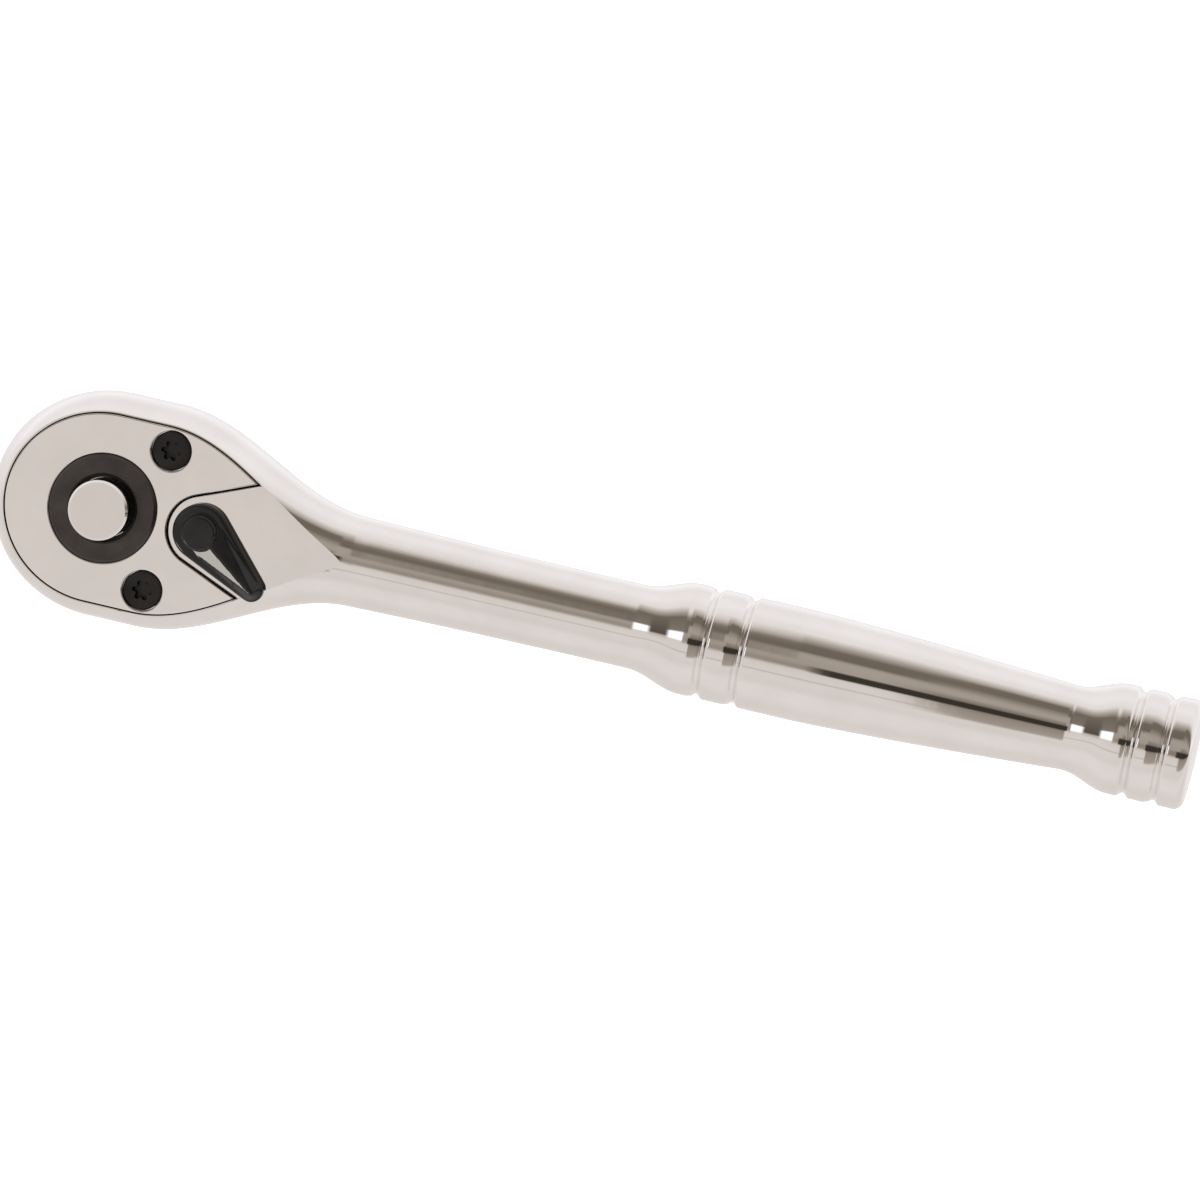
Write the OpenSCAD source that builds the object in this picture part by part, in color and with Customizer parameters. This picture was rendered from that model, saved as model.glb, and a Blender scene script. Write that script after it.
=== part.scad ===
// Pear-head reversible ratchet wrench with a push-button socket release.
// Origin: drive axis at the seat plane. +X runs along the handle, +Z toward the release button.

/* [Head] */
// Radius of the round front of the head at mid height
head_r = 18.5; // [18.3:0.1:19]
// Stretch of the round front of the head along the handle
front_stretch = 1.05; // [1:0.01:1.08]
// Radius of the curve that bulges the side walls of the head
wall_curve_r = 12; // [11:0.5:14]
// Thickness of the head between its two flat faces
head_t = 15; // [14.9:0.1:15.3]
// Distance from the drive axis to where the head starts to narrow
taper_start = 8; // [6:0.5:9]
// Distance from the drive axis to where the head has become the round shank
taper_end = 42; // [40:0.5:46]
// Radius of the shank where it leaves the head
neck_r = 7.45; // [7.3:0.05:7.5]

/* [Handle] */
// Distance from the drive axis to the end of the handle
handle_reach = 180.6; // [180.6:0.2:186]
// Smallest radius of the shank
waist_r = 6.95; // [6.5:0.05:7.1]
// Largest radius of the grip
grip_r = 9.15; // [8.8:0.05:9.5]
// Radius of the end knob
knob_r = 9.05; // [8.8:0.05:9.5]
// Depth of each of the four turned grooves
groove_depth = 0.75; // [0.4:0.05:0.9]

/* [Cover] */
// Thickness of the cover plate
plate_t = 2.2; // [2:0.1:2.3]
// Width of the body rim that shows round the cover plate
rim_w = 0.3; // [0.3:0.1:0.9]
// Width of the dark seam round the cover plate
seam = 0.18; // [0.1:0.02:0.25]
// Width of the seam between the cover plate and the lever island
notch_seam = 0.3; // [0.2:0.02:0.4]
// Distance of each cover screw from the drive axis along the handle
screw_x = 9.1; // [9:0.1:9.2]
// Distance of each cover screw from the centre line
screw_y = 11.6; // [11.5:0.05:11.7]
// Radius of the cover screw heads
screw_head_r = 3.2; // [3:0.05:3.25]

/* [Drive] */
// Width of the square drive across its flats
square_w = 9.525; // [9.4:0.005:9.55]
// Length of the square drive below the seat plane
square_len = 11; // [11:0.5:12]
// Number of teeth on the drive gear
teeth = 72; // [72:72:72]
// Radius of the drive gear over its teeth
gear_tip_r = 10.6; // [10.6:0.05:10.65]
// Depth of the drive gear teeth
tooth_depth = 0.55; // [0.5:0.05:0.6]
// Radius of the gear hub that shows through the cover plate
hub_r = 8.85; // [8.8:0.05:8.85]
// Radius of the journal that turns in the head
journal_r = 7.2; // [7.1:0.05:7.2]

/* [Release button] */
// Radius of the release button
button_r = 4.9; // [4.7:0.05:4.95]
// Height of the release button above the cover plate
button_rise = 4.2; // [4:0.1:4.6]
// Travel of the release button
button_travel = 3; // [2.5:0.1:3]
// Radius of the detent ball
ball_r = 1.7; // [1.65:0.01:1.7]

/* [Selector] */
// Distance from the drive axis to the lever pivot
lever_x = 16.7; // [16.6:0.05:16.8]
// Angle of the thumb lever from the handle axis at rest
lever_angle = -36; // [-38:1:-34]
// Distance from the lever pivot to the centre of its round tip
lever_len = 12.4; // [11.5:0.1:13]
// Radius of the lever hub
lever_hub_r = 4.6; // [4.5:0.05:4.7]
// Radius of the selector shaft
shaft_r = 2.2; // [2.15:0.05:2.2]
// Distance from the drive axis to the pawl pivot
pawl_x = 12.15; // [12.1:0.05:12.2]
// Angle that the pawl tips each way from neutral
pawl_tip = 7; // [7:0.5:7.5]

/* [Hidden] */

$fn = 96;
eps = 0.01;
run_fit = 0.05;

body_bottom = 0.8;
body_top = body_bottom + head_t;
mid_z = body_bottom + head_t / 2;
plate_z = body_top - plate_t;
plate_edge_inset = rim_w + seam;

// Pocket for the gear and the pawl
floor_z = 3.6;
pocket_r = gear_tip_r + 0.35;
pawl_room_r = 14.1;
pawl_room_angle = 41;
shaft_room_r = 3.6;
back_room_start = 10;
back_room_len = 5.4;
back_room_w = 11.6;

// Heights inside the pocket
washer_z = floor_z + 0.02;
washer_t = 0.46;
gear_z = 4.15;
gear_top = plate_z - 0.15;
pawl_z = 4.2;
pawl_top = 12.3;

// Release mechanism inside the gear
hub_top = body_top + 0.3;
counterbore_r = 5.5;
counterbore_z = 8.6;
rod_r = 2;
rod_bore_r = rod_r + 0.06;
rod_bottom = -7;
rod_bore_bottom = rod_bottom - button_travel - 0.2;
button_top = body_top + button_rise;
button_skirt_z = 12.3;
button_flange_r = 5.35;
button_flange_t = 0.8;
button_cavity_r = 3.5;
button_cavity_top = 16.6;
ring_z = 13.4;
ring_t = 0.6;
ball_z = -5.5;
ball_hole_r = ball_r + run_fit;
ball_lip_r = ball_r - 0.1;
ball_lip_t = 0.36;
ball_x = 3.78;
ramp_drop = 0.75;

// Journal seal
seal_z = 2.35;
seal_wire_r = 0.5;
seal_r = 6.7;

// Cover screws
screw_seat_z = body_top - 1.4;
screw_head_t = 1.3;
screw_tip_z = 6.4;
thread_r = 1.45;
thread_hole_r = thread_r + run_fit;
thread_pitch = 0.7;

// Selector
notch_r = 5.9;
notch_angle = 22.5;
shaft_bottom = 2.3;
shaft_top = 18;
lever_z = body_top + 0.1;
lever_plate_t = 1.7;
lever_top = lever_z + 3.3;
lever_tip_r = 2;
lever_boss_r = 2.9;
pawl_pin_r = 0.7;
pawl_pin_top = 14.6;
plunger_z = 8.2;
plunger_r = 1;
plunger_reach = 3;
plunger_back = 0.5;
plunger_bore_back = -1.5;
clip_z = 12.75;
clip_t = 0.6;
clip_r = 3.1;
clip_groove_r = 1.8;
shaft_seal_z = 14.7;
shaft_seal_wire_r = 0.35;

// Share of the head's extra width that is left at distance x: 1 at the head, 0 at the shank
function swell(x) =
    let (t = min(1, max(0, (x - taper_start) / (taper_end - taper_start))))
    (1 + cos(180 * t)) / 2;

// Half width of the body at mid height, and radius of the curve of its side wall, for x over 0
function half_w(x) = neck_r + (head_r - neck_r) * swell(x);
function curve_r(x) = neck_r + (wall_curve_r - neck_r) * swell(x);

// Radius of the round front of the head at height z above mid height
function front_r(z) = head_r - wall_curve_r + sqrt(pow(wall_curve_r, 2) - z * z);

// Half width of the body at distance x and height z above mid height
function wall_y(x, z) = x < 0
    ? sqrt(max(0, pow(front_r(z), 2) - pow(x / front_stretch, 2)))
    : half_w(x) - curve_r(x) + sqrt(max(0, pow(curve_r(x), 2) - z * z));

// Half height of the body at distance x, up to the flat faces
function half_h(x) = x < 0
    ? min(head_t / 2, sqrt(max(0, pow(wall_curve_r, 2) - pow(-x / front_stretch - head_r + wall_curve_r, 2))))
    : min(head_t / 2, curve_r(x));

// Half width of the flat face at distance x, moved in by an inset measured square to its edge
function flat_y(x, inset) =
    let (slope = (wall_y(x + 0.1, head_t / 2) - wall_y(x, head_t / 2)) / 0.1)
    wall_y(x, head_t / 2) - inset * sqrt(1 + slope * slope);

// Radius of the handle at distance x
shank_end = 85;
collar_start = 88;
collar_full = 97.2;
grip_full = 116;
grip_end = 160;
knob_full = 168;
grooves = [100, 106, 170.5, 175.5];
groove_half_w = 1.1;
end_round = 1.6;
end_dome = 0.25;
function rise(t) = (1 - cos(180 * min(1, max(0, t)))) / 2;
function handle_r(x) =
    x < shank_end ? waist_r + (neck_r - waist_r) * pow(1 - (x - taper_end) / (shank_end - taper_end), 2)
    : x < grip_full ? waist_r + (grip_r - waist_r) * rise((x - collar_start) / (collar_full - collar_start))
    : x < grip_end ? grip_r - (grip_r - waist_r) * pow((x - grip_full) / (grip_end - grip_full), 1.35)
    : waist_r + (knob_r - waist_r) * rise((x - grip_end) / (knob_full - grip_end));

// Points of one groove, as [radius, distance]
function groove(x) = [for (u = [-1:0.25:1])
    [handle_r(x) - groove_depth * (1 + cos(180 * u)) / 2, x + u * groove_half_w]];

handle_profile = concat(
    [[0, taper_end - 8], [neck_r - 0.4, taper_end - 8], [neck_r - 0.1, taper_end - 0.5]],
    [for (x = [taper_end + 0.5:4:shank_end]) [handle_r(x), x]],
    [for (x = [collar_start:1:collar_full]) [handle_r(x), x]],
    groove(grooves[0]), groove(grooves[1]),
    [for (x = [grip_full:4:grip_end]) [handle_r(x), x]],
    [for (x = [grip_end + 1:1:knob_full]) [handle_r(x), x]],
    groove(grooves[2]), groove(grooves[3]),
    [for (a = [0:15:75])
        [knob_r - end_round + end_round * cos(a), handle_reach - end_dome - end_round + end_round * sin(a)]],
    [[knob_r - end_round, handle_reach - end_dome], [0, handle_reach]]);

// Stations of the head, round the front and along the taper, and the points of one section
wall_steps = 12;
min_y = 0.05;
stations = concat([for (a = [7:7:84]) -head_r * front_stretch * cos(a)], [for (x = [0:3:taper_end]) x]);
function section(x, grow) =
    let (h = half_h(x),
        side = [for (k = [0:wall_steps])
            let (z = -h * cos(180 * k / wall_steps))
            [max(min_y, wall_y(x, z)) + grow, z * (1 + grow / h)]])
    concat([for (p = side) [x, p[0], p[1]]],
        [for (k = [wall_steps:-1:0]) [x, -side[k][0], side[k][1]]]);

// Solid through a list of rings that have equal numbers of points
module ring_loft(rings) {
    n = len(rings[0]);
    last = len(rings) - 1;
    sides = [for (i = [0:last - 1]) for (j = [0:n - 1])
        let (a = i * n + j, b = i * n + (j + 1) % n)
        each [[a, a + n, b + n], [a, b + n, b]]];
    polyhedron(
        points = [for (r = rings) each r],
        faces = concat([[for (j = [0:n - 1]) j]], sides,
            [[for (j = [n - 1:-1:0]) last * n + j]]));
}

// Helical wire spring that stands on z = 0
module coil_spring(coil_r, wire_r, turns, height, steps, wire_sides) {
    ring_loft([for (i = [0:turns * steps])
        let (turn_angle = 360 * i / steps, z = wire_r + (height - 2 * wire_r) * i / (turns * steps))
        [for (j = [0:wire_sides - 1])
            let (a = 360 * j / wire_sides, r = coil_r + wire_r * cos(a))
            [r * cos(turn_angle), r * sin(turn_angle), z + wire_r * sin(a)]]]);
}

// Open retaining ring with a gap at the given angle
module split_ring(outer_r, inner_r, thick, gap_w, gap_angle) {
    linear_extrude(thick) difference() {
        circle(outer_r);
        circle(inner_r);
        rotate(gap_angle) translate([0, -gap_w / 2]) square([outer_r + 1, gap_w]);
    }
}

module ring_torus(centre_r, wire_r) {
    rotate_extrude() translate([centre_r, 0]) circle(wire_r, $fn = 48);
}

module along_handle() {
    translate([0, 0, mid_z]) rotate([0, 90, 0]) children();
}

module at_lever() {
    translate([lever_x, 0, 0]) children();
}

// Turns its children about the pawl pivot
module tip_pawl(angle) {
    translate([pawl_x, 0]) rotate(angle) translate([-pawl_x, 0]) children();
}

module wedge(from, to, reach) {
    polygon(concat([[0, 0]], [for (i = [0:8])
        let (a = from + (to - from) * i / 8)
        reach * [cos(a), sin(a)]]));
}

// Outline of the cover plate seat: the flat face moved in, cut off beyond the notch
module plate_outline(inset) {
    front_y = front_r(head_t / 2) - inset;
    front_x = front_r(head_t / 2) * front_stretch - inset;
    polygon(concat(
        [for (x = [30:-2.5:2.5]) [x, flat_y(x, inset)]],
        [for (a = [90:5:270]) [front_x * cos(a), front_y * sin(a)]],
        [for (x = [2.5:2.5:30]) [x, -flat_y(x, inset)]]));
}

// Island round the lever pivot, open toward the handle
module notch_outline(r) {
    start = 90 + notch_angle;
    arm = 40;
    arc_points = [for (i = [0:18])
        let (a = start + (360 - 2 * start) * i / 18)
        [lever_x + r * cos(a), r * sin(a)]];
    polygon(concat(
        [[arc_points[0][0] + arm * cos(notch_angle), arc_points[0][1] + arm * sin(notch_angle)]],
        arc_points,
        [[arc_points[0][0] + arm * cos(notch_angle), -arc_points[0][1] - arm * sin(notch_angle)]]));
}

// Outline of the drive gear, with its teeth grown by a clearance
module gear_outline(clear) {
    pitch = 360 / teeth;
    grow_angle = clear > 0 ? 0.5 : 0;
    root_r = gear_tip_r - tooth_depth + clear;
    tip_r = gear_tip_r + clear;
    polygon([for (i = [0:teeth - 1]) each [
        root_r * [cos(i * pitch - 1.9 - grow_angle), sin(i * pitch - 1.9 - grow_angle)],
        tip_r * [cos(i * pitch - 0.6 - grow_angle), sin(i * pitch - 0.6 - grow_angle)],
        tip_r * [cos(i * pitch + 0.6 + grow_angle), sin(i * pitch + 0.6 + grow_angle)],
        root_r * [cos(i * pitch + 1.9 + grow_angle), sin(i * pitch + 1.9 + grow_angle)]]]);
}

module pocket_outline() {
    circle(pocket_r);
    intersection() {
        circle(pawl_room_r);
        wedge(-pawl_room_angle, pawl_room_angle, 2 * pawl_room_r);
    }
    translate([back_room_start, -back_room_w / 2]) square([back_room_len, back_room_w]);
    translate([lever_x, 0]) circle(shaft_room_r);
}

module handle_body() {
    color("silver") difference() {
        union() {
            translate([0, 0, mid_z]) ring_loft([for (x = stations)
                section(x, x > taper_end - 3.5 ? 0.08 : 0)]);
            along_handle() rotate_extrude() polygon(handle_profile);
        }
        translate([0, 0, plate_z]) linear_extrude(plate_t + 1) difference() {
            plate_outline(rim_w);
            notch_outline(notch_r - notch_seam);
        }
        translate([0, 0, floor_z]) linear_extrude(plate_z - floor_z + 0.02) pocket_outline();
        translate([0, 0, body_bottom - 1]) cylinder(r = journal_r + run_fit, h = floor_z + 1);
        translate([lever_x, 0, shaft_bottom - 0.1]) cylinder(r = shaft_r + run_fit, h = head_t + 1);
        translate([pawl_x, 0, body_bottom - 1]) cylinder(r = pawl_pin_r, h = pawl_pin_top - body_bottom + 1);
        for (side = [-1, 1]) {
            translate([screw_x, side * screw_y, screw_tip_z - 0.6]) cylinder(r = thread_hole_r, h = head_t);
        }
    }
}

module cover_plate() {
    edge = 0.35;
    color("gainsboro") difference() {
        translate([0, 0, plate_z]) linear_extrude(plate_t) difference() {
            plate_outline(plate_edge_inset);
            notch_outline(notch_r);
        }
        translate([0, 0, plate_z - 1]) cylinder(r = hub_r + run_fit, h = plate_t + 2);
        translate([0, 0, body_top - edge])
            cylinder(r1 = hub_r + run_fit, r2 = hub_r + run_fit + 2 * edge, h = 2 * edge);
        for (side = [-1, 1]) translate([screw_x, side * screw_y, 0]) {
            translate([0, 0, plate_z - 1]) cylinder(r = thread_r + 0.2, h = plate_t + 2);
            translate([0, 0, screw_seat_z]) cylinder(r = screw_head_r + 0.12, h = plate_t + 1);
            translate([0, 0, body_top - edge]) cylinder(r1 = screw_head_r + 0.12,
                r2 = screw_head_r + 0.12 + 2 * edge, h = 2 * edge);
        }
    }
}

// Cover screw with a six-lobed recess, head down to the plate seat
module cover_screw() {
    head_edge = 0.25;
    ridges = floor((screw_seat_z - screw_tip_z - 1) / thread_pitch);
    ridge_profile = [for (i = [0:ridges - 1]) each [
        [thread_r - 0.25, screw_tip_z + 0.5 + i * thread_pitch],
        [thread_r, screw_tip_z + 0.5 + (i + 0.5) * thread_pitch]]];
    color("dimgray") difference() {
        union() {
            rotate_extrude() polygon(concat(
                [[0, screw_tip_z], [thread_r - 0.6, screw_tip_z]],
                ridge_profile,
                [[thread_r - 0.25, screw_seat_z - 0.3], [thread_r - 0.1, screw_seat_z + 0.2],
                    [0, screw_seat_z + 0.2]]));
            translate([0, 0, screw_seat_z]) cylinder(r = screw_head_r, h = screw_head_t - head_edge);
            translate([0, 0, screw_seat_z + screw_head_t - head_edge])
                cylinder(r1 = screw_head_r, r2 = screw_head_r - head_edge, h = head_edge);
        }
        translate([0, 0, screw_seat_z + screw_head_t - 1]) linear_extrude(2) union() {
            circle(1.15);
            for (a = [0:60:300]) rotate(a) translate([1.25, 0]) circle(0.42, $fn = 32);
        }
    }
}

module cover_screw_front() {
    translate([screw_x, -screw_y, 0]) cover_screw();
}

module cover_screw_rear() {
    translate([screw_x, screw_y, 0]) cover_screw();
}

// Gear, hub, journal and square drive, forged and cut in one piece
module drive_gear() {
    tip_edge = 0.9;
    hub_edge = 0.4;
    color("darkslategray") difference() {
        union() {
            translate([0, 0, gear_z]) linear_extrude(gear_top - gear_z) gear_outline(0);
            translate([0, 0, gear_top - eps]) cylinder(r = hub_r, h = hub_top - hub_edge - gear_top + eps);
            translate([0, 0, hub_top - hub_edge]) cylinder(r1 = hub_r, r2 = hub_r - hub_edge, h = hub_edge);
            cylinder(r = journal_r, h = gear_z + eps);
            intersection() {
                translate([-square_w / 2, -square_w / 2, -square_len])
                    cube([square_w, square_w, square_len + 1]);
                rotate_extrude() polygon([[0, -square_len], [square_w / 2 - 0.2, -square_len],
                    [square_w / 2 + tip_edge, -square_len + 1.6], [square_w * 0.665, -square_len + 2.6],
                    [square_w * 0.665, 1], [0, 1]]);
            }
        }
        translate([0, 0, rod_bore_bottom]) cylinder(r = rod_bore_r, h = 40);
        translate([0, 0, counterbore_z]) cylinder(r = counterbore_r, h = 20);
        translate([0, 0, hub_top - 0.3]) cylinder(r1 = counterbore_r, r2 = counterbore_r + 0.6, h = 0.6);
        translate([0, 0, ring_z - 0.05]) cylinder(r = counterbore_r + 0.5, h = ring_t + 0.1);
        translate([0, 0, seal_z]) rotate_extrude()
            translate([seal_r - seal_wire_r - 0.05, -seal_wire_r - 0.1]) square([3, 2 * seal_wire_r + 0.2]);
        translate([0, 0, ball_z]) rotate([0, 90, 0])
            cylinder(r = ball_hole_r, h = square_w / 2 - ball_lip_t);
        translate([0, 0, ball_z]) rotate([0, 90, 0]) cylinder(r = ball_lip_r, h = square_w);
    }
}

module thrust_washer() {
    color("gray") translate([0, 0, washer_z]) difference() {
        cylinder(r = gear_tip_r - 0.3, h = washer_t);
        translate([0, 0, -1]) cylinder(r = journal_r + 0.2, h = washer_t + 2);
    }
}

module drive_o_ring() {
    color("black") translate([0, 0, seal_z]) ring_torus(seal_r, seal_wire_r);
}

// Hollow push button with a flange that the button ring holds down
module release_button() {
    edge = 0.35;
    color("silver") difference() {
        rotate_extrude() polygon([[0, button_skirt_z], [button_flange_r, button_skirt_z],
            [button_flange_r, button_skirt_z + button_flange_t],
            [button_r, button_skirt_z + button_flange_t],
            [button_r, button_top - edge], [button_r - edge, button_top], [0, button_top]]);
        translate([0, 0, button_skirt_z - 1])
            cylinder(r = button_cavity_r, h = button_cavity_top - button_skirt_z + 1);
        translate([0, 0, button_skirt_z]) cylinder(r = rod_r + eps, h = button_top - 1.2 - button_skirt_z);
    }
}

// Steel pin pressed into the button, with the cone that lets the ball in
module release_pin() {
    color("gray") rotate_extrude() polygon([[0, rod_bottom], [rod_r - 0.3, rod_bottom],
        [rod_r, rod_bottom + 0.3], [rod_r, ball_z],
        [rod_r - ramp_drop, ball_z + button_travel], [rod_r - ramp_drop, ball_z + button_travel + 1.8],
        [rod_r, ball_z + button_travel + 2.6], [rod_r, button_top - 1.3], [0, button_top - 1.3]]);
}

module release_spring() {
    color("silver") translate([0, 0, counterbore_z + 0.03])
        coil_spring(2.75, 0.26, 5, button_cavity_top - counterbore_z - 0.06, 14, 6);
}

module button_ring() {
    color("dimgray") translate([0, 0, ring_z])
        split_ring(counterbore_r + 0.42, button_r + 0.08, ring_t, 2.4, 200);
}

module detent_ball() {
    color("silver") translate([ball_x, 0, ball_z]) sphere(ball_r);
}

// Two-nosed pawl in its neutral position, with its teeth cut to mesh when it is tipped either way
module pawl_outline() {
    nose_start = 20;
    nose_end = 38;
    difference() {
        union() {
            for (side = [0, 1]) mirror([0, side]) tip_pawl(-pawl_tip) difference() {
                intersection() {
                    circle(gear_tip_r + 1.3);
                    wedge(nose_start, nose_end, 2 * gear_tip_r);
                }
                circle(gear_tip_r - tooth_depth - 0.1);
            }
            polygon([[10.2, -5.6], [12.6, -5.4], [14.2, -3.6], [14.2, 3.6], [12.6, 5.4], [10.2, 5.6]]);
        }
        for (side = [-1, 1]) tip_pawl(side * pawl_tip) {
            gear_outline(0.12);
            intersection() {
                circle(gear_tip_r + 0.3);
                wedge(-nose_start + 1, nose_start - 1, 2 * gear_tip_r);
            }
            translate([lever_x, 0]) circle(plunger_reach + 0.15);
        }
        translate([pawl_x, 0]) circle(pawl_pin_r + run_fit);
    }
}

module pawl() {
    color("dimgray") translate([0, 0, pawl_z]) linear_extrude(pawl_top - pawl_z)
        tip_pawl(pawl_tip) pawl_outline();
}

module pawl_pin() {
    color("gray") translate([pawl_x, 0, body_bottom + 0.1])
        cylinder(r = pawl_pin_r - 0.005, h = pawl_pin_top - body_bottom - 0.2);
}

// Thumb lever: a tapered plate with a round boss over the pivot and a roof-shaped rib out to the tip
module reverse_lever() {
    height = lever_top - lever_z;
    edge = 0.4;
    ridge_r = 0.3;
    color("black") translate([lever_x, 0, lever_z]) rotate(lever_angle) difference() {
        union() {
            hull() {
                cylinder(r = lever_hub_r, h = lever_plate_t - edge, $fn = 64);
                cylinder(r = lever_hub_r - edge, h = lever_plate_t, $fn = 64);
                translate([lever_len, 0, 0]) {
                    cylinder(r = lever_tip_r, h = lever_plate_t - edge, $fn = 32);
                    cylinder(r = lever_tip_r - edge, h = lever_plate_t, $fn = 32);
                }
            }
            hull() {
                cylinder(r = lever_boss_r, h = height - edge, $fn = 48);
                cylinder(r = lever_boss_r - 0.3, h = height, $fn = 48);
            }
            hull() {
                translate([2, 0, 0]) cylinder(r = lever_boss_r, h = lever_plate_t, $fn = 32);
                translate([2.5, 0, 0]) cylinder(r = ridge_r, h = height - 0.5, $fn = 16);
                translate([lever_len, 0, 0]) {
                    cylinder(r = lever_tip_r - edge, h = lever_plate_t, $fn = 32);
                    translate([0.4, 0, 0]) cylinder(r = ridge_r, h = height, $fn = 16);
                }
            }
        }
        translate([0, 0, -1]) cylinder(r = shaft_r - 0.4, h = shaft_top - lever_z + 1);
    }
}

// Shaft that the lever turns, with a cross bore for the plunger and grooves for the seal and clip
module selector_shaft() {
    color("gray") at_lever() difference() {
        rotate_extrude() polygon([[0, shaft_bottom], [shaft_r - 0.2, shaft_bottom],
            [shaft_r, shaft_bottom + 0.2], [shaft_r, clip_z - 0.03], [clip_groove_r, clip_z - 0.03],
            [clip_groove_r, clip_z + clip_t + 0.03], [shaft_r, clip_z + clip_t + 0.03],
            [shaft_r, shaft_seal_z - shaft_seal_wire_r - 0.1],
            [1.5, shaft_seal_z - shaft_seal_wire_r - 0.1],
            [1.5, shaft_seal_z + shaft_seal_wire_r + 0.1],
            [shaft_r, shaft_seal_z + shaft_seal_wire_r + 0.1],
            [shaft_r, lever_z - 0.02], [shaft_r - 0.405, lever_z - 0.02],
            [shaft_r - 0.405, shaft_top - 0.05], [0, shaft_top - 0.05]]);
        translate([0, 0, plunger_z]) rotate(lever_angle + 180) rotate([0, 90, 0])
            translate([0, 0, plunger_bore_back]) cylinder(r = plunger_r + 0.04, h = 10);
    }
}

module shaft_o_ring() {
    color("black") translate([lever_x, 0, shaft_seal_z]) ring_torus(1.87, shaft_seal_wire_r);
}

module shaft_clip() {
    color("dimgray") translate([lever_x, 0, clip_z])
        split_ring(clip_r, clip_groove_r + 0.02, clip_t, 2.2, 0);
}

// Spring-loaded plunger that leans on the back of the pawl, hollow for its spring
module selector_plunger() {
    wall = 0.25;
    tip_z = plunger_reach - plunger_r;
    color("silver") translate([lever_x, 0, plunger_z]) rotate(lever_angle + 180) rotate([0, 90, 0])
        difference() {
            union() {
                translate([0, 0, plunger_back]) cylinder(r = plunger_r, h = tip_z - plunger_back);
                translate([0, 0, tip_z]) sphere(plunger_r);
            }
            translate([0, 0, plunger_back - 1]) cylinder(r = plunger_r - wall, h = tip_z - plunger_back + 0.8);
        }
}

module plunger_spring() {
    color("silver") translate([lever_x, 0, plunger_z]) rotate(lever_angle + 180) rotate([0, 90, 0])
        translate([0, 0, plunger_bore_back + 0.02]) coil_spring(0.55, 0.13, 5, 2.7, 12, 6);
}

handle_body();
cover_plate();
cover_screw_front();
cover_screw_rear();
drive_gear();
thrust_washer();
drive_o_ring();
release_button();
release_pin();
release_spring();
button_ring();
detent_ball();
pawl();
pawl_pin();
reverse_lever();
selector_shaft();
shaft_o_ring();
shaft_clip();
selector_plunger();
plunger_spring();
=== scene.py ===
"""Looks for the pear-head ratchet wrench: chromed body and cover, dark gear, black lever and screws."""
import math

import bmesh
import bpy
from mathutils import Matrix, Vector


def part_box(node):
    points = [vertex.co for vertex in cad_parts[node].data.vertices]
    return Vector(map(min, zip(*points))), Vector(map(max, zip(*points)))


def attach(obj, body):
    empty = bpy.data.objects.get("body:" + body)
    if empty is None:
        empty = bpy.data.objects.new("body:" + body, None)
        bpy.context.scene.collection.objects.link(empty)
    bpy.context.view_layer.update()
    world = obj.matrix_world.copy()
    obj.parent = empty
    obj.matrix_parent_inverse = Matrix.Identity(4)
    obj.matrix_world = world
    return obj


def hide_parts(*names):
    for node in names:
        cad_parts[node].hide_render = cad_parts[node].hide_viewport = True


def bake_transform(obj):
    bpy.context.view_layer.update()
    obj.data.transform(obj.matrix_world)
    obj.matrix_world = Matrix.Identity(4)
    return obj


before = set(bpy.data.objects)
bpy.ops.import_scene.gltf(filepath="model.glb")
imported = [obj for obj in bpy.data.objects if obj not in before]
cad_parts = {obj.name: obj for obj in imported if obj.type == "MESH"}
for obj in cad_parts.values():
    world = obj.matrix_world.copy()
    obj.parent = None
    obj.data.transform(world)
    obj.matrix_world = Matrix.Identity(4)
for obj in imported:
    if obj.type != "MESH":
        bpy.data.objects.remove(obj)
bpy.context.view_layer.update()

MM = 0.001

# Driving dimensions of the body, in millimetres, as in the CAD model
HEAD_R = 18.5
FRONT_STRETCH = 1.05
WALL_CURVE_R = 12.0
HEAD_T = 15.0
TAPER_START = 8.0
TAPER_END = 42.0
NECK_R = 7.45
WAIST_R = 6.95
GRIP_R = 9.15
KNOB_R = 9.05
GROOVE_DEPTH = 0.75
GROOVE_HALF_W = 1.1
GROOVES = (100.0, 106.0, 170.5, 175.5)
SHANK_END = 85.0
COLLAR_START = 88.0
COLLAR_FULL = 97.2
GRIP_FULL = 116.0
GRIP_END = 160.0
KNOB_FULL = 168.0
REACH = 180.6
END_ROUND = 1.6
END_DOME = 0.25
BODY_BOTTOM = 0.8
BODY_TOP = BODY_BOTTOM + HEAD_T
MID_Z = BODY_BOTTOM + HEAD_T / 2

# Cover, selector and pocket, in millimetres
PLATE_T = 2.2
PLATE_Z = BODY_TOP - PLATE_T
RIM_W = 0.3
SEAM = 0.18
NOTCH_SEAM = 0.3
SEAT_EDGE = 0.14
SEAT_EDGE_SPARE = 0.05
NOTCH_R = 5.9
NOTCH_ANGLE = 22.5
LEVER_X = 16.7
HUB_HOLE_R = 8.9
SCREWS = ((9.1, 11.6), (9.1, -11.6))
SCREW_SEAT_R = 3.32
SCREW_WEB_R = 1.65
SCREW_SEAT_Z = BODY_TOP - 1.4
POCKET_R = 10.95
PAWL_ROOM_R = 14.1
PAWL_ROOM_ANGLE = 41.0
BACK_ROOM_START = 10.0
BACK_ROOM_END = 15.4
BACK_ROOM_HALF_W = 5.8
SHAFT_ROOM_R = 3.6
FLOOR_Z = 3.6
JOURNAL_HOLE_R = 7.25
SHAFT_HOLE_R = 2.25
SHAFT_HOLE_Z = 2.2
PIN_HOLE_R = 0.72
PIN_X = 12.15
PIN_TOP = 14.6
THREAD_HOLE_R = 1.5
THREAD_HOLE_Z = 5.8
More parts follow.
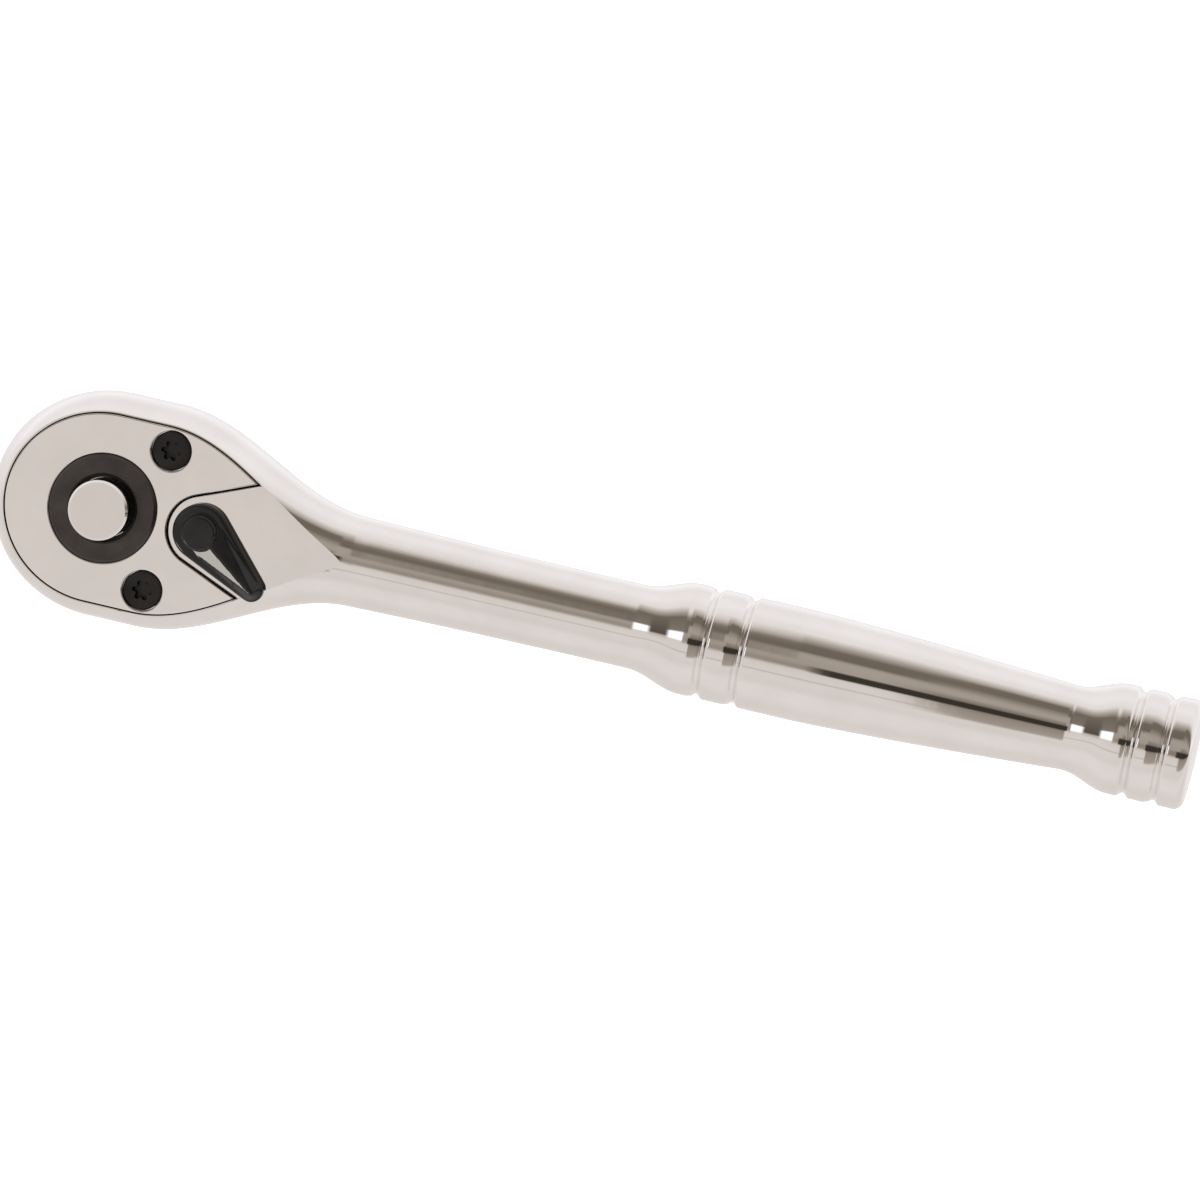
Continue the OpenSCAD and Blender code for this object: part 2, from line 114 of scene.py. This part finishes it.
DRIVE_SIDE = 9.525
PLATE_EDGE_R = 0.22
WEB_EDGE_R = 0.02
# How far a cutter reaches past the face that it opens, and how far cutters keep off each other's end faces
OPEN_END = 1.0
STAGGER = 0.001
OVERLAP = 0.02

# Mesh steps: points along half a section, stations round the front, and spacings along X in millimetres
SIDE_STEPS = 40
FRONT_STATIONS = 46
HEAD_SPACING = 0.6
SHANK_SPACING = 1.0
BEND_SPACING = 0.5
GROOVE_SPACING = 0.12
FIRST_HANDLE_GAP = 0.8
GROOVE_MARGIN = 0.2
GRIP_END_MARGIN = 2
END_STEPS = 8
PLATE_SIDE_STEPS = 40
# The plate's corner is searched for up to this X, by halving the range this many times
PLATE_CORNER_LIMIT = 30.0
HALVINGS = 40
FINE_CIRCLE = 144

# Shading: bends sharper than these angles show an edge, and a face counts as level above this upward part
BODY_SHARP_ANGLE = 28.0
COVER_SHARP_ANGLE = 35.0
LEVEL = 0.99999

# Rounding of the lever's edges
LEVER_VOXEL = 0.12
LEVER_SMOOTH = 0.5
LEVER_SMOOTH_TIMES = 6

# Floor, in metres
FLOOR_HALF = 3.0
FLOOR_GAP = 0.00005


# ---------------------------------------------------------------- body shape

def swell(x):
    t = min(1.0, max(0.0, (x - TAPER_START) / (TAPER_END - TAPER_START)))
    return (1 + math.cos(math.pi * t)) / 2


def half_w(x):
    return NECK_R + (HEAD_R - NECK_R) * swell(x)


def curve_r(x):
    return NECK_R + (WALL_CURVE_R - NECK_R) * swell(x)


def front_r(z):
    return HEAD_R - WALL_CURVE_R + math.sqrt(WALL_CURVE_R ** 2 - z * z)


def wall_y(x, z):
    """Half width of the head at distance x and height z above its middle."""
    if x < 0:
        return math.sqrt(max(0.0, front_r(z) ** 2 - (x / FRONT_STRETCH) ** 2))
    return half_w(x) - curve_r(x) + math.sqrt(max(0.0, curve_r(x) ** 2 - z * z))


def half_h(x):
    """Half height of the head at distance x, up to its flat faces."""
    if x < 0:
        reach = -x / FRONT_STRETCH - HEAD_R + WALL_CURVE_R
        return min(HEAD_T / 2, math.sqrt(max(0.0, WALL_CURVE_R ** 2 - reach * reach)))
    return min(HEAD_T / 2, curve_r(x))


def flat_y(x, inset):
    """Half width of the flat face at distance x, moved in square to its edge."""
    slope = (wall_y(x + 0.1, HEAD_T / 2) - wall_y(x, HEAD_T / 2)) / 0.1
    return wall_y(x, HEAD_T / 2) - inset * math.sqrt(1 + slope * slope)


def rise(t):
    return (1 - math.cos(math.pi * min(1.0, max(0.0, t)))) / 2


def handle_r(x):
    """Radius of the round handle at distance x, without its grooves."""
    if x < SHANK_END:
        left = 1 - (x - TAPER_END) / (SHANK_END - TAPER_END)
        return WAIST_R + (NECK_R - WAIST_R) * left ** 2
    if x < GRIP_FULL:
        return WAIST_R + (GRIP_R - WAIST_R) * rise((x - COLLAR_START) / (COLLAR_FULL - COLLAR_START))
    if x < GRIP_END:
        return GRIP_R - (GRIP_R - WAIST_R) * ((x - GRIP_FULL) / (GRIP_END - GRIP_FULL)) ** 1.35
    return WAIST_R + (KNOB_R - WAIST_R) * rise((x - GRIP_END) / (KNOB_FULL - GRIP_END))


def turned_r(x):
    """Radius of the handle at distance x, with its grooves."""
    for centre in GROOVES:
        u = (x - centre) / GROOVE_HALF_W
        if abs(u) < 1:
            return handle_r(x) - GROOVE_DEPTH * (1 + math.cos(math.pi * u)) / 2
    return handle_r(x)


def handle_stations():
    """Distances at which the handle has a ring: close together at grooves and bends."""
    xs = []
    x = TAPER_END + FIRST_HANDLE_GAP
    round_start = REACH - END_DOME - END_ROUND
    while x < round_start:
        xs.append(x)
        near_groove = any(abs(x - g) < GROOVE_HALF_W + GROOVE_MARGIN for g in GROOVES)
        near_bend = COLLAR_START < x < COLLAR_FULL or GRIP_END - GRIP_END_MARGIN < x < KNOB_FULL
        x += GROOVE_SPACING if near_groove else BEND_SPACING if near_bend else SHANK_SPACING
    return xs


def ring(x, radius=0.0):
    """Closed ring at x, up the +Y side and down the -Y side: the head's section, or a circle past it."""
    turns = [math.pi * k / SIDE_STEPS for k in range(SIDE_STEPS + 1)]
    if x <= TAPER_END:
        heights = [-half_h(x) * math.cos(t) for t in turns]
        side = [(wall_y(x, z), z) for z in heights]
    else:
        side = [(radius * math.sin(t), -radius * math.cos(t)) for t in turns]
    up = [(x, y, MID_Z + z) for y, z in side]
    down = [(x, -y, MID_Z + z) for y, z in reversed(side)]
    return up + down


def body_rings():
    """Rings from the front of the head to the middle of the end face."""
    rings = []
    for i in range(1, FRONT_STATIONS):
        rings.append(ring(-HEAD_R * FRONT_STRETCH * math.cos(math.pi / 2 * i / FRONT_STATIONS)))
    x = 0.0
    while x <= TAPER_END:
        rings.append(ring(x))
        x += HEAD_SPACING
    for x in handle_stations():
        rings.append(ring(x, turned_r(x)))
    round_x = REACH - END_DOME - END_ROUND
    face_r = KNOB_R - END_ROUND
    for i in range(END_STEPS + 1):
        a = math.pi / 2 * i / END_STEPS
        rings.append(ring(round_x + END_ROUND * math.sin(a), face_r + END_ROUND * math.cos(a)))
    for i in range(1, END_STEPS):
        r = face_r * (1 - i / END_STEPS)
        rings.append(ring(REACH - END_DOME * (r / face_r) ** 2, r))
    return rings


def mesh_object(name, bm):
    mesh = bpy.data.meshes.new(name)
    bm.to_mesh(mesh)
    bm.free()
    obj = bpy.data.objects.new(name, mesh)
    bpy.context.scene.collection.objects.link(obj)
    return obj


def loft(name, rings):
    bm = bmesh.new()
    rows = [[bm.verts.new(Vector(p) * MM) for p in r] for r in rings]
    n = len(rows[0])
    for a, b in zip(rows, rows[1:]):
        for j in range(n):
            k = (j + 1) % n
            bm.faces.new((a[j], a[k], b[k], b[j]))
    bm.faces.new(rows[0][::-1])
    bm.faces.new(rows[-1])
    bmesh.ops.remove_doubles(bm, verts=bm.verts, dist=1e-7)
    bmesh.ops.recalc_face_normals(bm, faces=bm.faces)
    return mesh_object(name, bm)


# ---------------------------------------------------------------- outlines and cutters

def arc(cx, cy, r, start, end, steps):
    return [(cx + r * math.cos(math.radians(start + (end - start) * i / steps)),
             cy + r * math.sin(math.radians(start + (end - start) * i / steps))) for i in range(steps + 1)]


def circle(cx, cy, r, steps=96):
    return arc(cx, cy, r, 0, 360 * (steps - 1) / steps, steps - 1)


def seat_outline(inset, notch_r):
    """Outline of the cover plate or its seat: round the front, with a notch round the lever."""
    turn = math.radians(90 + NOTCH_ANGLE)
    slope = math.tan(math.radians(NOTCH_ANGLE))
    x0 = LEVER_X + notch_r * math.cos(turn)
    y0 = notch_r * math.sin(turn)
    low, high = x0, PLATE_CORNER_LIMIT
    for _ in range(HALVINGS):
        mid = (low + high) / 2
        if y0 + (mid - x0) * slope < flat_y(mid, inset):
            low = mid
        else:
            high = mid
    corner = low
    steps = PLATE_SIDE_STEPS
    top = [(corner * (1 - i / steps), flat_y(corner * (1 - i / steps), inset)) for i in range(steps)]
    front_y = front_r(HEAD_T / 2) - inset
    front_x = front_r(HEAD_T / 2) * FRONT_STRETCH - inset
    front = [(front_x * c, front_y * s) for c, s in arc(0, 0, 1, 90, 270, 90)]
    bottom = [(x, -y) for x, y in reversed(top)]
    notch = arc(LEVER_X, 0, notch_r, 270 - NOTCH_ANGLE, 90 + NOTCH_ANGLE, 48)
    return top + front + bottom + notch


def prism(name, outline, z0, z1, top_outline=None):
    """Closed solid between two heights, tapering if its top has an outline of its own."""
    bm = bmesh.new()
    low = [bm.verts.new((x * MM, y * MM, z0 * MM)) for x, y in outline]
    high = [bm.verts.new((x * MM, y * MM, z1 * MM)) for x, y in top_outline or outline]
    n = len(outline)
    for j in range(n):
        k = (j + 1) % n
        bm.faces.new((low[j], low[k], high[k], high[j]))
    bm.faces.new(low[::-1])
    bm.faces.new(high)
    bmesh.ops.recalc_face_normals(bm, faces=bm.faces)
    return mesh_object(name, bm)


def pawl_room():
    return [(0, 0)] + arc(0, 0, PAWL_ROOM_R, -PAWL_ROOM_ANGLE, PAWL_ROOM_ANGLE, 32)


def back_room():
    y = BACK_ROOM_HALF_W
    return [(BACK_ROOM_START, -y), (BACK_ROOM_END, -y), (BACK_ROOM_END, y), (BACK_ROOM_START, y)]


def evaluated_mesh(obj):
    depsgraph = bpy.context.evaluated_depsgraph_get()
    return bpy.data.meshes.new_from_object(obj.evaluated_get(depsgraph))


def cut(obj, cutters):
    """Takes the cutters out of the object and deletes them."""
    for cutter in cutters:
        modifier = obj.modifiers.new("cut", "BOOLEAN")
        modifier.operation = "DIFFERENCE"
        modifier.solver = "EXACT"
        modifier.object = cutter
        modifier.material_mode = "TRANSFER"
    mesh = evaluated_mesh(obj)
    obj.modifiers.clear()
    obj.data = mesh
    for cutter in cutters:
        bpy.data.objects.remove(cutter)


def shade(obj, angle=BODY_SHARP_ANGLE):
    """Smooth shading, with sharp edges at bends and all round flat faces."""
    bm = bmesh.new()
    bm.from_mesh(obj.data)
    bm.normal_update()
    for f in bm.faces:
        f.smooth = True
    for e in bm.edges:
        if len(e.link_faces) != 2:
            e.smooth = False
            continue
        a, b = e.link_faces
        flat_edge = (abs(a.normal.z) > LEVEL) != (abs(b.normal.z) > LEVEL)
        e.smooth = not flat_edge and e.calc_face_angle(0) <= math.radians(angle)
    bm.to_mesh(obj.data)
    bm.free()


def build_body(skin, seam_shade):
    """Head and handle in one piece, with the seat, the pocket and all bores cut out."""
    body = loft("chromed_body", body_rings())
    paint(body, skin)
    island_r = NOTCH_R - NOTCH_SEAM
    below = BODY_BOTTOM - OPEN_END
    above = BODY_TOP + OPEN_END
    reach = SEAT_EDGE + SEAT_EDGE_SPARE
    rooms = [circle(0, 0, POCKET_R, FINE_CIRCLE), pawl_room(), back_room(), circle(LEVER_X, 0, SHAFT_ROOM_R)]
    cutters = [prism("cut_seat", seat_outline(RIM_W, island_r), PLATE_Z, above)]
    edge = prism("cut_seat_edge", seat_outline(RIM_W + SEAT_EDGE_SPARE, island_r + SEAT_EDGE_SPARE),
                 BODY_TOP - reach, BODY_TOP + SEAT_EDGE_SPARE, seat_outline(RIM_W - reach, island_r - reach))
    cutters.append(edge)
    for i, outline in enumerate(rooms):
        cutters.append(prism("cut_room", outline, FLOOR_Z + i * STAGGER, PLATE_Z + OVERLAP + i * STAGGER))
    cutters += [
        prism("cut_journal", circle(0, 0, JOURNAL_HOLE_R, FINE_CIRCLE), below, FLOOR_Z + 0.5),
        prism("cut_shaft", circle(LEVER_X, 0, SHAFT_HOLE_R), SHAFT_HOLE_Z, above),
        prism("cut_pin", circle(PIN_X, 0, PIN_HOLE_R, 32), below, PIN_TOP),
    ]
    for x, y in SCREWS:
        hole = circle(x, y, THREAD_HOLE_R, 48)
        cutters.append(prism("cut_thread", hole, THREAD_HOLE_Z, PLATE_Z + OPEN_END))
    # The cut walls take the near-black material, a painted shade that darkens the seams and recesses; the
    # seat's chamfer keeps the chrome
    for cutter in cutters:
        paint(cutter, seam_shade)
    paint(edge, skin)
    cut(body, cutters)
    shade(body)
    return body


def sheet_layer(name, outlines, z0, z1, edge):
    """Plate between two heights with holes and rounded edges."""
    curve = bpy.data.curves.new(name, "CURVE")
    curve.dimensions = "2D"
    curve.fill_mode = "BOTH"
    curve.extrude = ((z1 - z0) / 2 - edge) * MM
    curve.bevel_depth = edge * MM
    curve.bevel_resolution = 2
    curve.offset = -edge * MM
    for outline in outlines:
        spline = curve.splines.new("POLY")
        spline.points.add(len(outline) - 1)
        spline.use_cyclic_u = True
        for point, (x, y) in zip(spline.points, outline):
            point.co = (x * MM, y * MM, 0, 1)
    holder = bpy.data.objects.new(name, curve)
    bpy.context.scene.collection.objects.link(holder)
    mesh = evaluated_mesh(holder)
    bpy.data.objects.remove(holder)
    mesh.transform(Matrix.Translation((0, 0, (z0 + z1) / 2 * MM)))
    return mesh


def build_cover():
    """Cover plate with rounded edges, sunk for the screw heads."""
    outlines = [seat_outline(RIM_W + SEAM, NOTCH_R), circle(0, 0, HUB_HOLE_R, FINE_CIRCLE)]
    seats = [circle(x, y, SCREW_SEAT_R) for x, y in SCREWS]
    webs = [circle(x, y, SCREW_WEB_R, 48) for x, y in SCREWS]
    bm = bmesh.new()
    bm.from_mesh(sheet_layer("cover_top", outlines + seats, SCREW_SEAT_Z, BODY_TOP, PLATE_EDGE_R))
    bm.from_mesh(sheet_layer("cover_web", outlines + webs, PLATE_Z, SCREW_SEAT_Z, WEB_EDGE_R))
    bmesh.ops.remove_doubles(bm, verts=bm.verts, dist=1e-7)
    cover = mesh_object("chromed_cover", bm)
    shade(cover, COVER_SHARP_ANGLE)
    return cover


# ---------------------------------------------------------------- materials

def new_material(name):
    material = bpy.data.materials.new(name)
    material.use_nodes = True
    return material, material.node_tree, material.node_tree.nodes["Principled BSDF"]


def add_noise(tree, scale, detail=3.0):
    coord = tree.nodes.new("ShaderNodeTexCoord")
    noise = tree.nodes.new("ShaderNodeTexNoise")
    noise.inputs["Scale"].default_value = scale
    noise.inputs["Detail"].default_value = detail
    tree.links.new(coord.outputs["Object"], noise.inputs["Vector"])
    return noise.outputs["Fac"]


def add_range(tree, value, start, end, low=0.0, high=1.0):
    """Maps a value between low and high to one between start and end."""
    node = tree.nodes.new("ShaderNodeMapRange")
    node.inputs["From Min"].default_value = low
    node.inputs["From Max"].default_value = high
    node.inputs["To Min"].default_value = start
    node.inputs["To Max"].default_value = end
    tree.links.new(value, node.inputs["Value"])
    return node.outputs["Result"]


def add_ramp(tree, value, stops):
    node = tree.nodes.new("ShaderNodeValToRGB")
    elements = node.color_ramp.elements
    while len(elements) < len(stops):
        elements.new(0.5)
    for element, (position, color) in zip(elements, stops):
        element.position = position
        element.color = (*color, 1)
    tree.links.new(value, node.inputs["Fac"])
    return node.outputs["Color"]


def add_bump(tree, value, bsdf, strength, distance):
    bump = tree.nodes.new("ShaderNodeBump")
    bump.inputs["Strength"].default_value = strength
    bump.inputs["Distance"].default_value = distance
    tree.links.new(value, bump.inputs["Height"])
    tree.links.new(bump.outputs["Normal"], bsdf.inputs["Normal"])


def add_patches(tree, value, bsdf, margin, dark, light):
    """Base colour that drifts between two shades."""
    color = add_ramp(tree, value, [(margin, dark), (1 - margin, light)])
    tree.links.new(color, bsdf.inputs["Base Color"])


def chrome(name, color, low_rough, high_rough):
    """Polished plating: faint cloudiness and a trace of polishing waves."""
    cloud_scale = 160.0
    wave_scale = 420.0
    cloud_dim = 0.96
    material, tree, bsdf = new_material(name)
    bsdf.inputs["Metallic"].default_value = 1.0
    clouds = add_noise(tree, cloud_scale)
    add_patches(tree, clouds, bsdf, 0.35, tuple(c * cloud_dim for c in color), color)
    tree.links.new(add_range(tree, clouds, low_rough, high_rough), bsdf.inputs["Roughness"])
    add_bump(tree, add_noise(tree, wave_scale, 1.0), bsdf, 0.05, 0.05 * MM)
    return material


def steel(name, dark, light, low_rough, high_rough, grain, metallic=1.0, shine=0.5):
    """Satin, blackened or painted steel with a fine grain."""
    grain_scale = 2600.0
    patch_scale = 300.0
    material, tree, bsdf = new_material(name)
    bsdf.inputs["Metallic"].default_value = metallic
    bsdf.inputs["Specular IOR Level"].default_value = shine
    speckle = add_noise(tree, grain_scale, 2.0)
    add_patches(tree, add_noise(tree, patch_scale), bsdf, 0.3, dark, light)
    tree.links.new(add_range(tree, speckle, low_rough, high_rough), bsdf.inputs["Roughness"])
    add_bump(tree, speckle, bsdf, grain, 0.04 * MM)
    return material


def paint(obj, *materials):
    obj.data.materials.clear()
    for material in materials:
        obj.data.materials.append(material)


# ---------------------------------------------------------------- stage

def build_floor(material):
    """Floor tilted to touch the tip of the drive and the end knob."""
    tip_x = DRIVE_SIDE / 2 * MM
    tip_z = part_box("drive_gear")[0].z
    knob_x = (REACH - END_DOME - END_ROUND) * MM
    knob_z = (MID_Z - KNOB_R) * MM
    slope = (knob_z - tip_z) / (knob_x - tip_x)
    bm = bmesh.new()
    bmesh.ops.create_grid(bm, x_segments=8, y_segments=8, size=FLOOR_HALF)
    for v in bm.verts:
        v.co.z = tip_z + (v.co.x - tip_x) * slope - FLOOR_GAP
    floor = mesh_object("floor", bm)
    paint(floor, material)
    floor.visible_glossy = False


def floor_material():
    """White paper bright enough to hide shadows."""
    material, tree, bsdf = new_material("floor_paper")
    add_patches(tree, add_noise(tree, 3.0), bsdf, 0.3, (0.93, 0.93, 0.93), (0.95, 0.95, 0.95))
    bsdf.inputs["Roughness"].default_value = 0.9
    bsdf.inputs["Specular IOR Level"].default_value = 0.1
    bsdf.inputs["Emission Color"].default_value = (1, 1, 1, 1)
    bsdf.inputs["Emission Strength"].default_value = 0.95
    return material


# Brightness of the studio against the angle from straight up toward +Y, in degrees
FAR_SIDE = [(-180, 0.88), (-140, 0.74), (-108, 0.73), (-80, 0.79), (-59, 0.78), (-45, 0.71),
            (-33, 0.73)]
FINE_LINE = FAR_SIDE + [(-24, 0.73), (-22, 0.46), (-20, 0.72), (-9, 0.70)]
NEAR_SIDE = [(76, 0.84), (100, 0.95), (126, 0.90), (150, 1.05), (180, 0.88)]
NEAR_EDGE = [(62, 0.42)] + NEAR_SIDE
MID_BAND = [(27, 0.38), (31, 0.34), (36, 0.14), (50, 0.15)] + NEAR_EDGE
BLACK_GREY = [(-28, 0.36), (-20, 0.32), (-9, 0.28), (-5, 0.22), (-3, 0.035), (7, 0.035), (10, 0.20)]
GREY_BROWN = [(14, 0.25), (20, 0.38), (28, 0.36), (37, 0.25), (44, 0.15), (56, 0.15)]
BLACK_LINE = [(-5, 0.66), (-3, 0.035), (8, 0.035), (10, 0.36)]
GREY_LINE = [(-4, 0.66), (0, 0.30), (4, 0.28), (10, 0.35)]
SOFT_LINE = [(-6, 0.68), (-2, 0.42), (2, 0.29), (8, 0.33), (14, 0.37), (20, 0.17)]
SOFT_BAND = [(42, 0.15), (50, 0.25), (57, 0.55), (64, 0.78)]
BRIGHT_PATCH = [(-1, 0.70), (1, 1.30), (16, 1.30), (19, 0.20), (50, 0.15)]
DARK_PATCH = [(0, 0.50), (4, 0.08), (27, 0.12), (50, 0.15)]
PALE_END = [(0, 0.74), (60, 0.80), (100, 0.90), (180, 0.88)]
# Zones in order from the handle end to the far left: where each gives way to the next (direction along
# the handle), how wide the change is, and the brightness in it
ZONES = [
    (0.02, 0.02, FAR_SIDE + BLACK_GREY + GREY_BROWN + NEAR_EDGE),
    (-0.045, 0.03, FINE_LINE + BLACK_LINE + MID_BAND),
    (-0.10, 0.03, FINE_LINE + GREY_LINE + MID_BAND),
    (-0.22, 0.06, FINE_LINE + SOFT_LINE + SOFT_BAND + NEAR_SIDE),
    (-0.66, 0.06, FINE_LINE + BRIGHT_PATCH + NEAR_EDGE),
    (-0.85, 0.06, FINE_LINE + DARK_PATCH + NEAR_EDGE),
    (None, None, FAR_SIDE + PALE_END),
]
# Green and blue against red: in the brightest boards, and how much falls away toward the darkest
BRIGHT_TINT = (1.0, 0.97, 0.985)
TINT_FALL = (0.0, 0.15, 0.35)
TINT_MEAN = 0.965


def studio_tint(level):
    """Dim boards are warmer than bright ones, at the same mean brightness."""
    tint = [bright - fall * (1 - level) for bright, fall in zip(BRIGHT_TINT, TINT_FALL)]
    return tuple(level * c * 3 * TINT_MEAN / sum(tint) for c in tint)


def build_world():
    """Studio of soft boards that run along the handle, bright low down and banded overhead."""
    world = bpy.data.worlds.new("studio")
    bpy.context.scene.world = world
    world.use_nodes = True
    tree = world.node_tree
    coord = tree.nodes.new("ShaderNodeTexCoord")
    split = tree.nodes.new("ShaderNodeSeparateXYZ")
    angle = tree.nodes.new("ShaderNodeMath")
    angle.operation = "ARCTAN2"
    tree.links.new(coord.outputs["Generated"], split.inputs["Vector"])
    tree.links.new(split.outputs["Y"], angle.inputs[0])
    tree.links.new(split.outputs["Z"], angle.inputs[1])
    turn = add_range(tree, angle.outputs["Value"], 0, 1, -math.pi, math.pi)
    color = None
    past = None
    for edge, width, stops in ZONES:
        placed = [((degrees + 180) / 360, studio_tint(level)) for degrees, level in stops]
        zone = add_ramp(tree, turn, placed)
        if color is None:
            color = zone
        else:
            mix = tree.nodes.new("ShaderNodeMix")
            mix.data_type = "RGBA"
            tree.links.new(past, mix.inputs["Factor"])
            tree.links.new(color, mix.inputs["A"])
            tree.links.new(zone, mix.inputs["B"])
            color = mix.outputs["Result"]
        if edge is not None:
            past = add_range(tree, split.outputs["X"], 1, 0, edge - width / 2, edge + width / 2)
    tree.links.new(color, tree.nodes["Background"].inputs["Color"])


def disk_light(name, size, energy, place):
    """Round light that faces straight down."""
    data = bpy.data.lights.new(name, "AREA")
    data.shape = "DISK"
    data.size = size
    data.energy = energy
    light = bpy.data.objects.new(name, data)
    light.location = place
    bpy.context.scene.collection.objects.link(light)
    return light


def build_lights(lever):
    """A wide light overhead, not mirrored in the chrome, and a small card for the lever's rib."""
    wash = disk_light("floor_wash", 1.6, 14.0, (0.1, 0.0, 1.2))
    wash.visible_glossy = False

    rib = Vector((20, -2, 17)) * MM
    away = Vector((-0.584, -0.59, 0.54))
    card = disk_light("lever_card", 0.26, 2.4, rib + away)
    card.rotation_euler = away.to_track_quat("Z", "Y").to_euler()
    card.data.color = (1.0, 0.94, 0.86)
    lit = bpy.data.collections.new("lever_only")
    lit.objects.link(lever)
    card.light_linking.receiver_collection = lit


def build_camera():
    """Long lens from above, leaning to the handle end and +Y, rolled so the handle falls to the right."""
    toward = Vector((0.118, 0.127, 0.985)).normalized()
    target = Vector((81.4, 2.85, 8.3)) * MM
    distance = 1.5
    roll = math.radians(13.1)
    along = (Vector((1, 0, 0)) - toward * toward.x).normalized()
    right = (Matrix.Rotation(roll, 3, toward) @ along).normalized()
    up = toward.cross(right)
    camera_data = bpy.data.cameras.new("camera")
    camera_data.sensor_width = 36.0
    camera_data.lens = 279.0
    camera_data.clip_start = 0.01
    camera_data.clip_end = 20.0
    camera = bpy.data.objects.new("camera", camera_data)
    rotation = Matrix((right, up, toward)).transposed().to_4x4()
    camera.matrix_world = Matrix.Translation(target + toward * distance) @ rotation
    bpy.context.scene.collection.objects.link(camera)
    bpy.context.scene.camera = camera


def build_spring():
    """Return spring of the button, copied from the CAD part at its CAD length, with the CAD part hidden."""
    spring = bpy.data.objects.new("return_coil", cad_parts["release_spring"].data.copy())
    bpy.context.scene.collection.objects.link(spring)
    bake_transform(spring)
    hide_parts("release_spring")
    return spring


def soften_lever(obj):
    """Rounds the lever's edges as a cast and painted piece has them."""
    remesh = obj.modifiers.new("remesh", "REMESH")
    remesh.mode = "VOXEL"
    remesh.voxel_size = LEVER_VOXEL * MM
    remesh.use_smooth_shade = True
    smooth = obj.modifiers.new("smooth", "SMOOTH")
    smooth.factor = LEVER_SMOOTH
    smooth.iterations = LEVER_SMOOTH_TIMES


def main():
    body_chrome = chrome("body_chrome", (0.90, 0.885, 0.87), 0.03, 0.07)
    button_chrome = chrome("button_chrome", (0.88, 0.865, 0.85), 0.08, 0.14)
    # Near-black, dull material for the walls of the seat, the pocket and the bores: painted shade that makes
    # the seams and recesses dark
    seam_shade = steel("seam_shade_steel", (0.010, 0.009, 0.008), (0.018, 0.016, 0.014), 0.5, 0.65, 0.2,
                   metallic=0.0, shine=0.1)
    gear = steel("gear_black", (0.080, 0.073, 0.068), (0.11, 0.10, 0.094), 0.38, 0.5, 0.3)
    screw = steel("screw_black", (0.034, 0.033, 0.032), (0.052, 0.050, 0.048), 0.35, 0.5, 0.3)
    lever = steel("lever_black", (0.004, 0.004, 0.004), (0.009, 0.009, 0.009), 0.08, 0.14, 0.02,
                  metallic=0.0, shine=0.35)
    plain = steel("plain_steel", (0.42, 0.42, 0.43), (0.55, 0.55, 0.56), 0.25, 0.4, 0.2)
    rubber = steel("seal_rubber", (0.01, 0.01, 0.01), (0.025, 0.025, 0.025), 0.6, 0.8, 0.3, metallic=0.0)

    body = build_body(body_chrome, seam_shade)
    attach(body, "head")
    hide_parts("handle_body")
    cover = build_cover()
    paint(cover, body_chrome)
    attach(cover, "head")
    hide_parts("cover_plate")

    finishes = {
        gear: ("drive_gear", "pawl"),
        screw: ("cover_screw_front", "cover_screw_rear", "button_ring"),
        button_chrome: ("release_button", "detent_ball"),
        lever: ("reverse_lever",),
        rubber: ("drive_o_ring", "shaft_o_ring"),
        plain: ("thrust_washer", "release_pin", "release_spring", "pawl_pin", "selector_shaft", "shaft_clip",
                "selector_plunger", "plunger_spring"),
    }
    for material, names in finishes.items():
        for name in names:
            paint(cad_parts[name], material)
    spring = build_spring()
    paint(spring, plain)
    for name in ("handle_body", "cover_plate"):
        paint(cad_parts[name], body_chrome)
    soften_lever(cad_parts["reverse_lever"])

    build_floor(floor_material())
    build_world()
    build_lights(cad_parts["reverse_lever"])
    build_camera()
    bpy.context.scene.view_settings.view_transform = "Standard"


main()
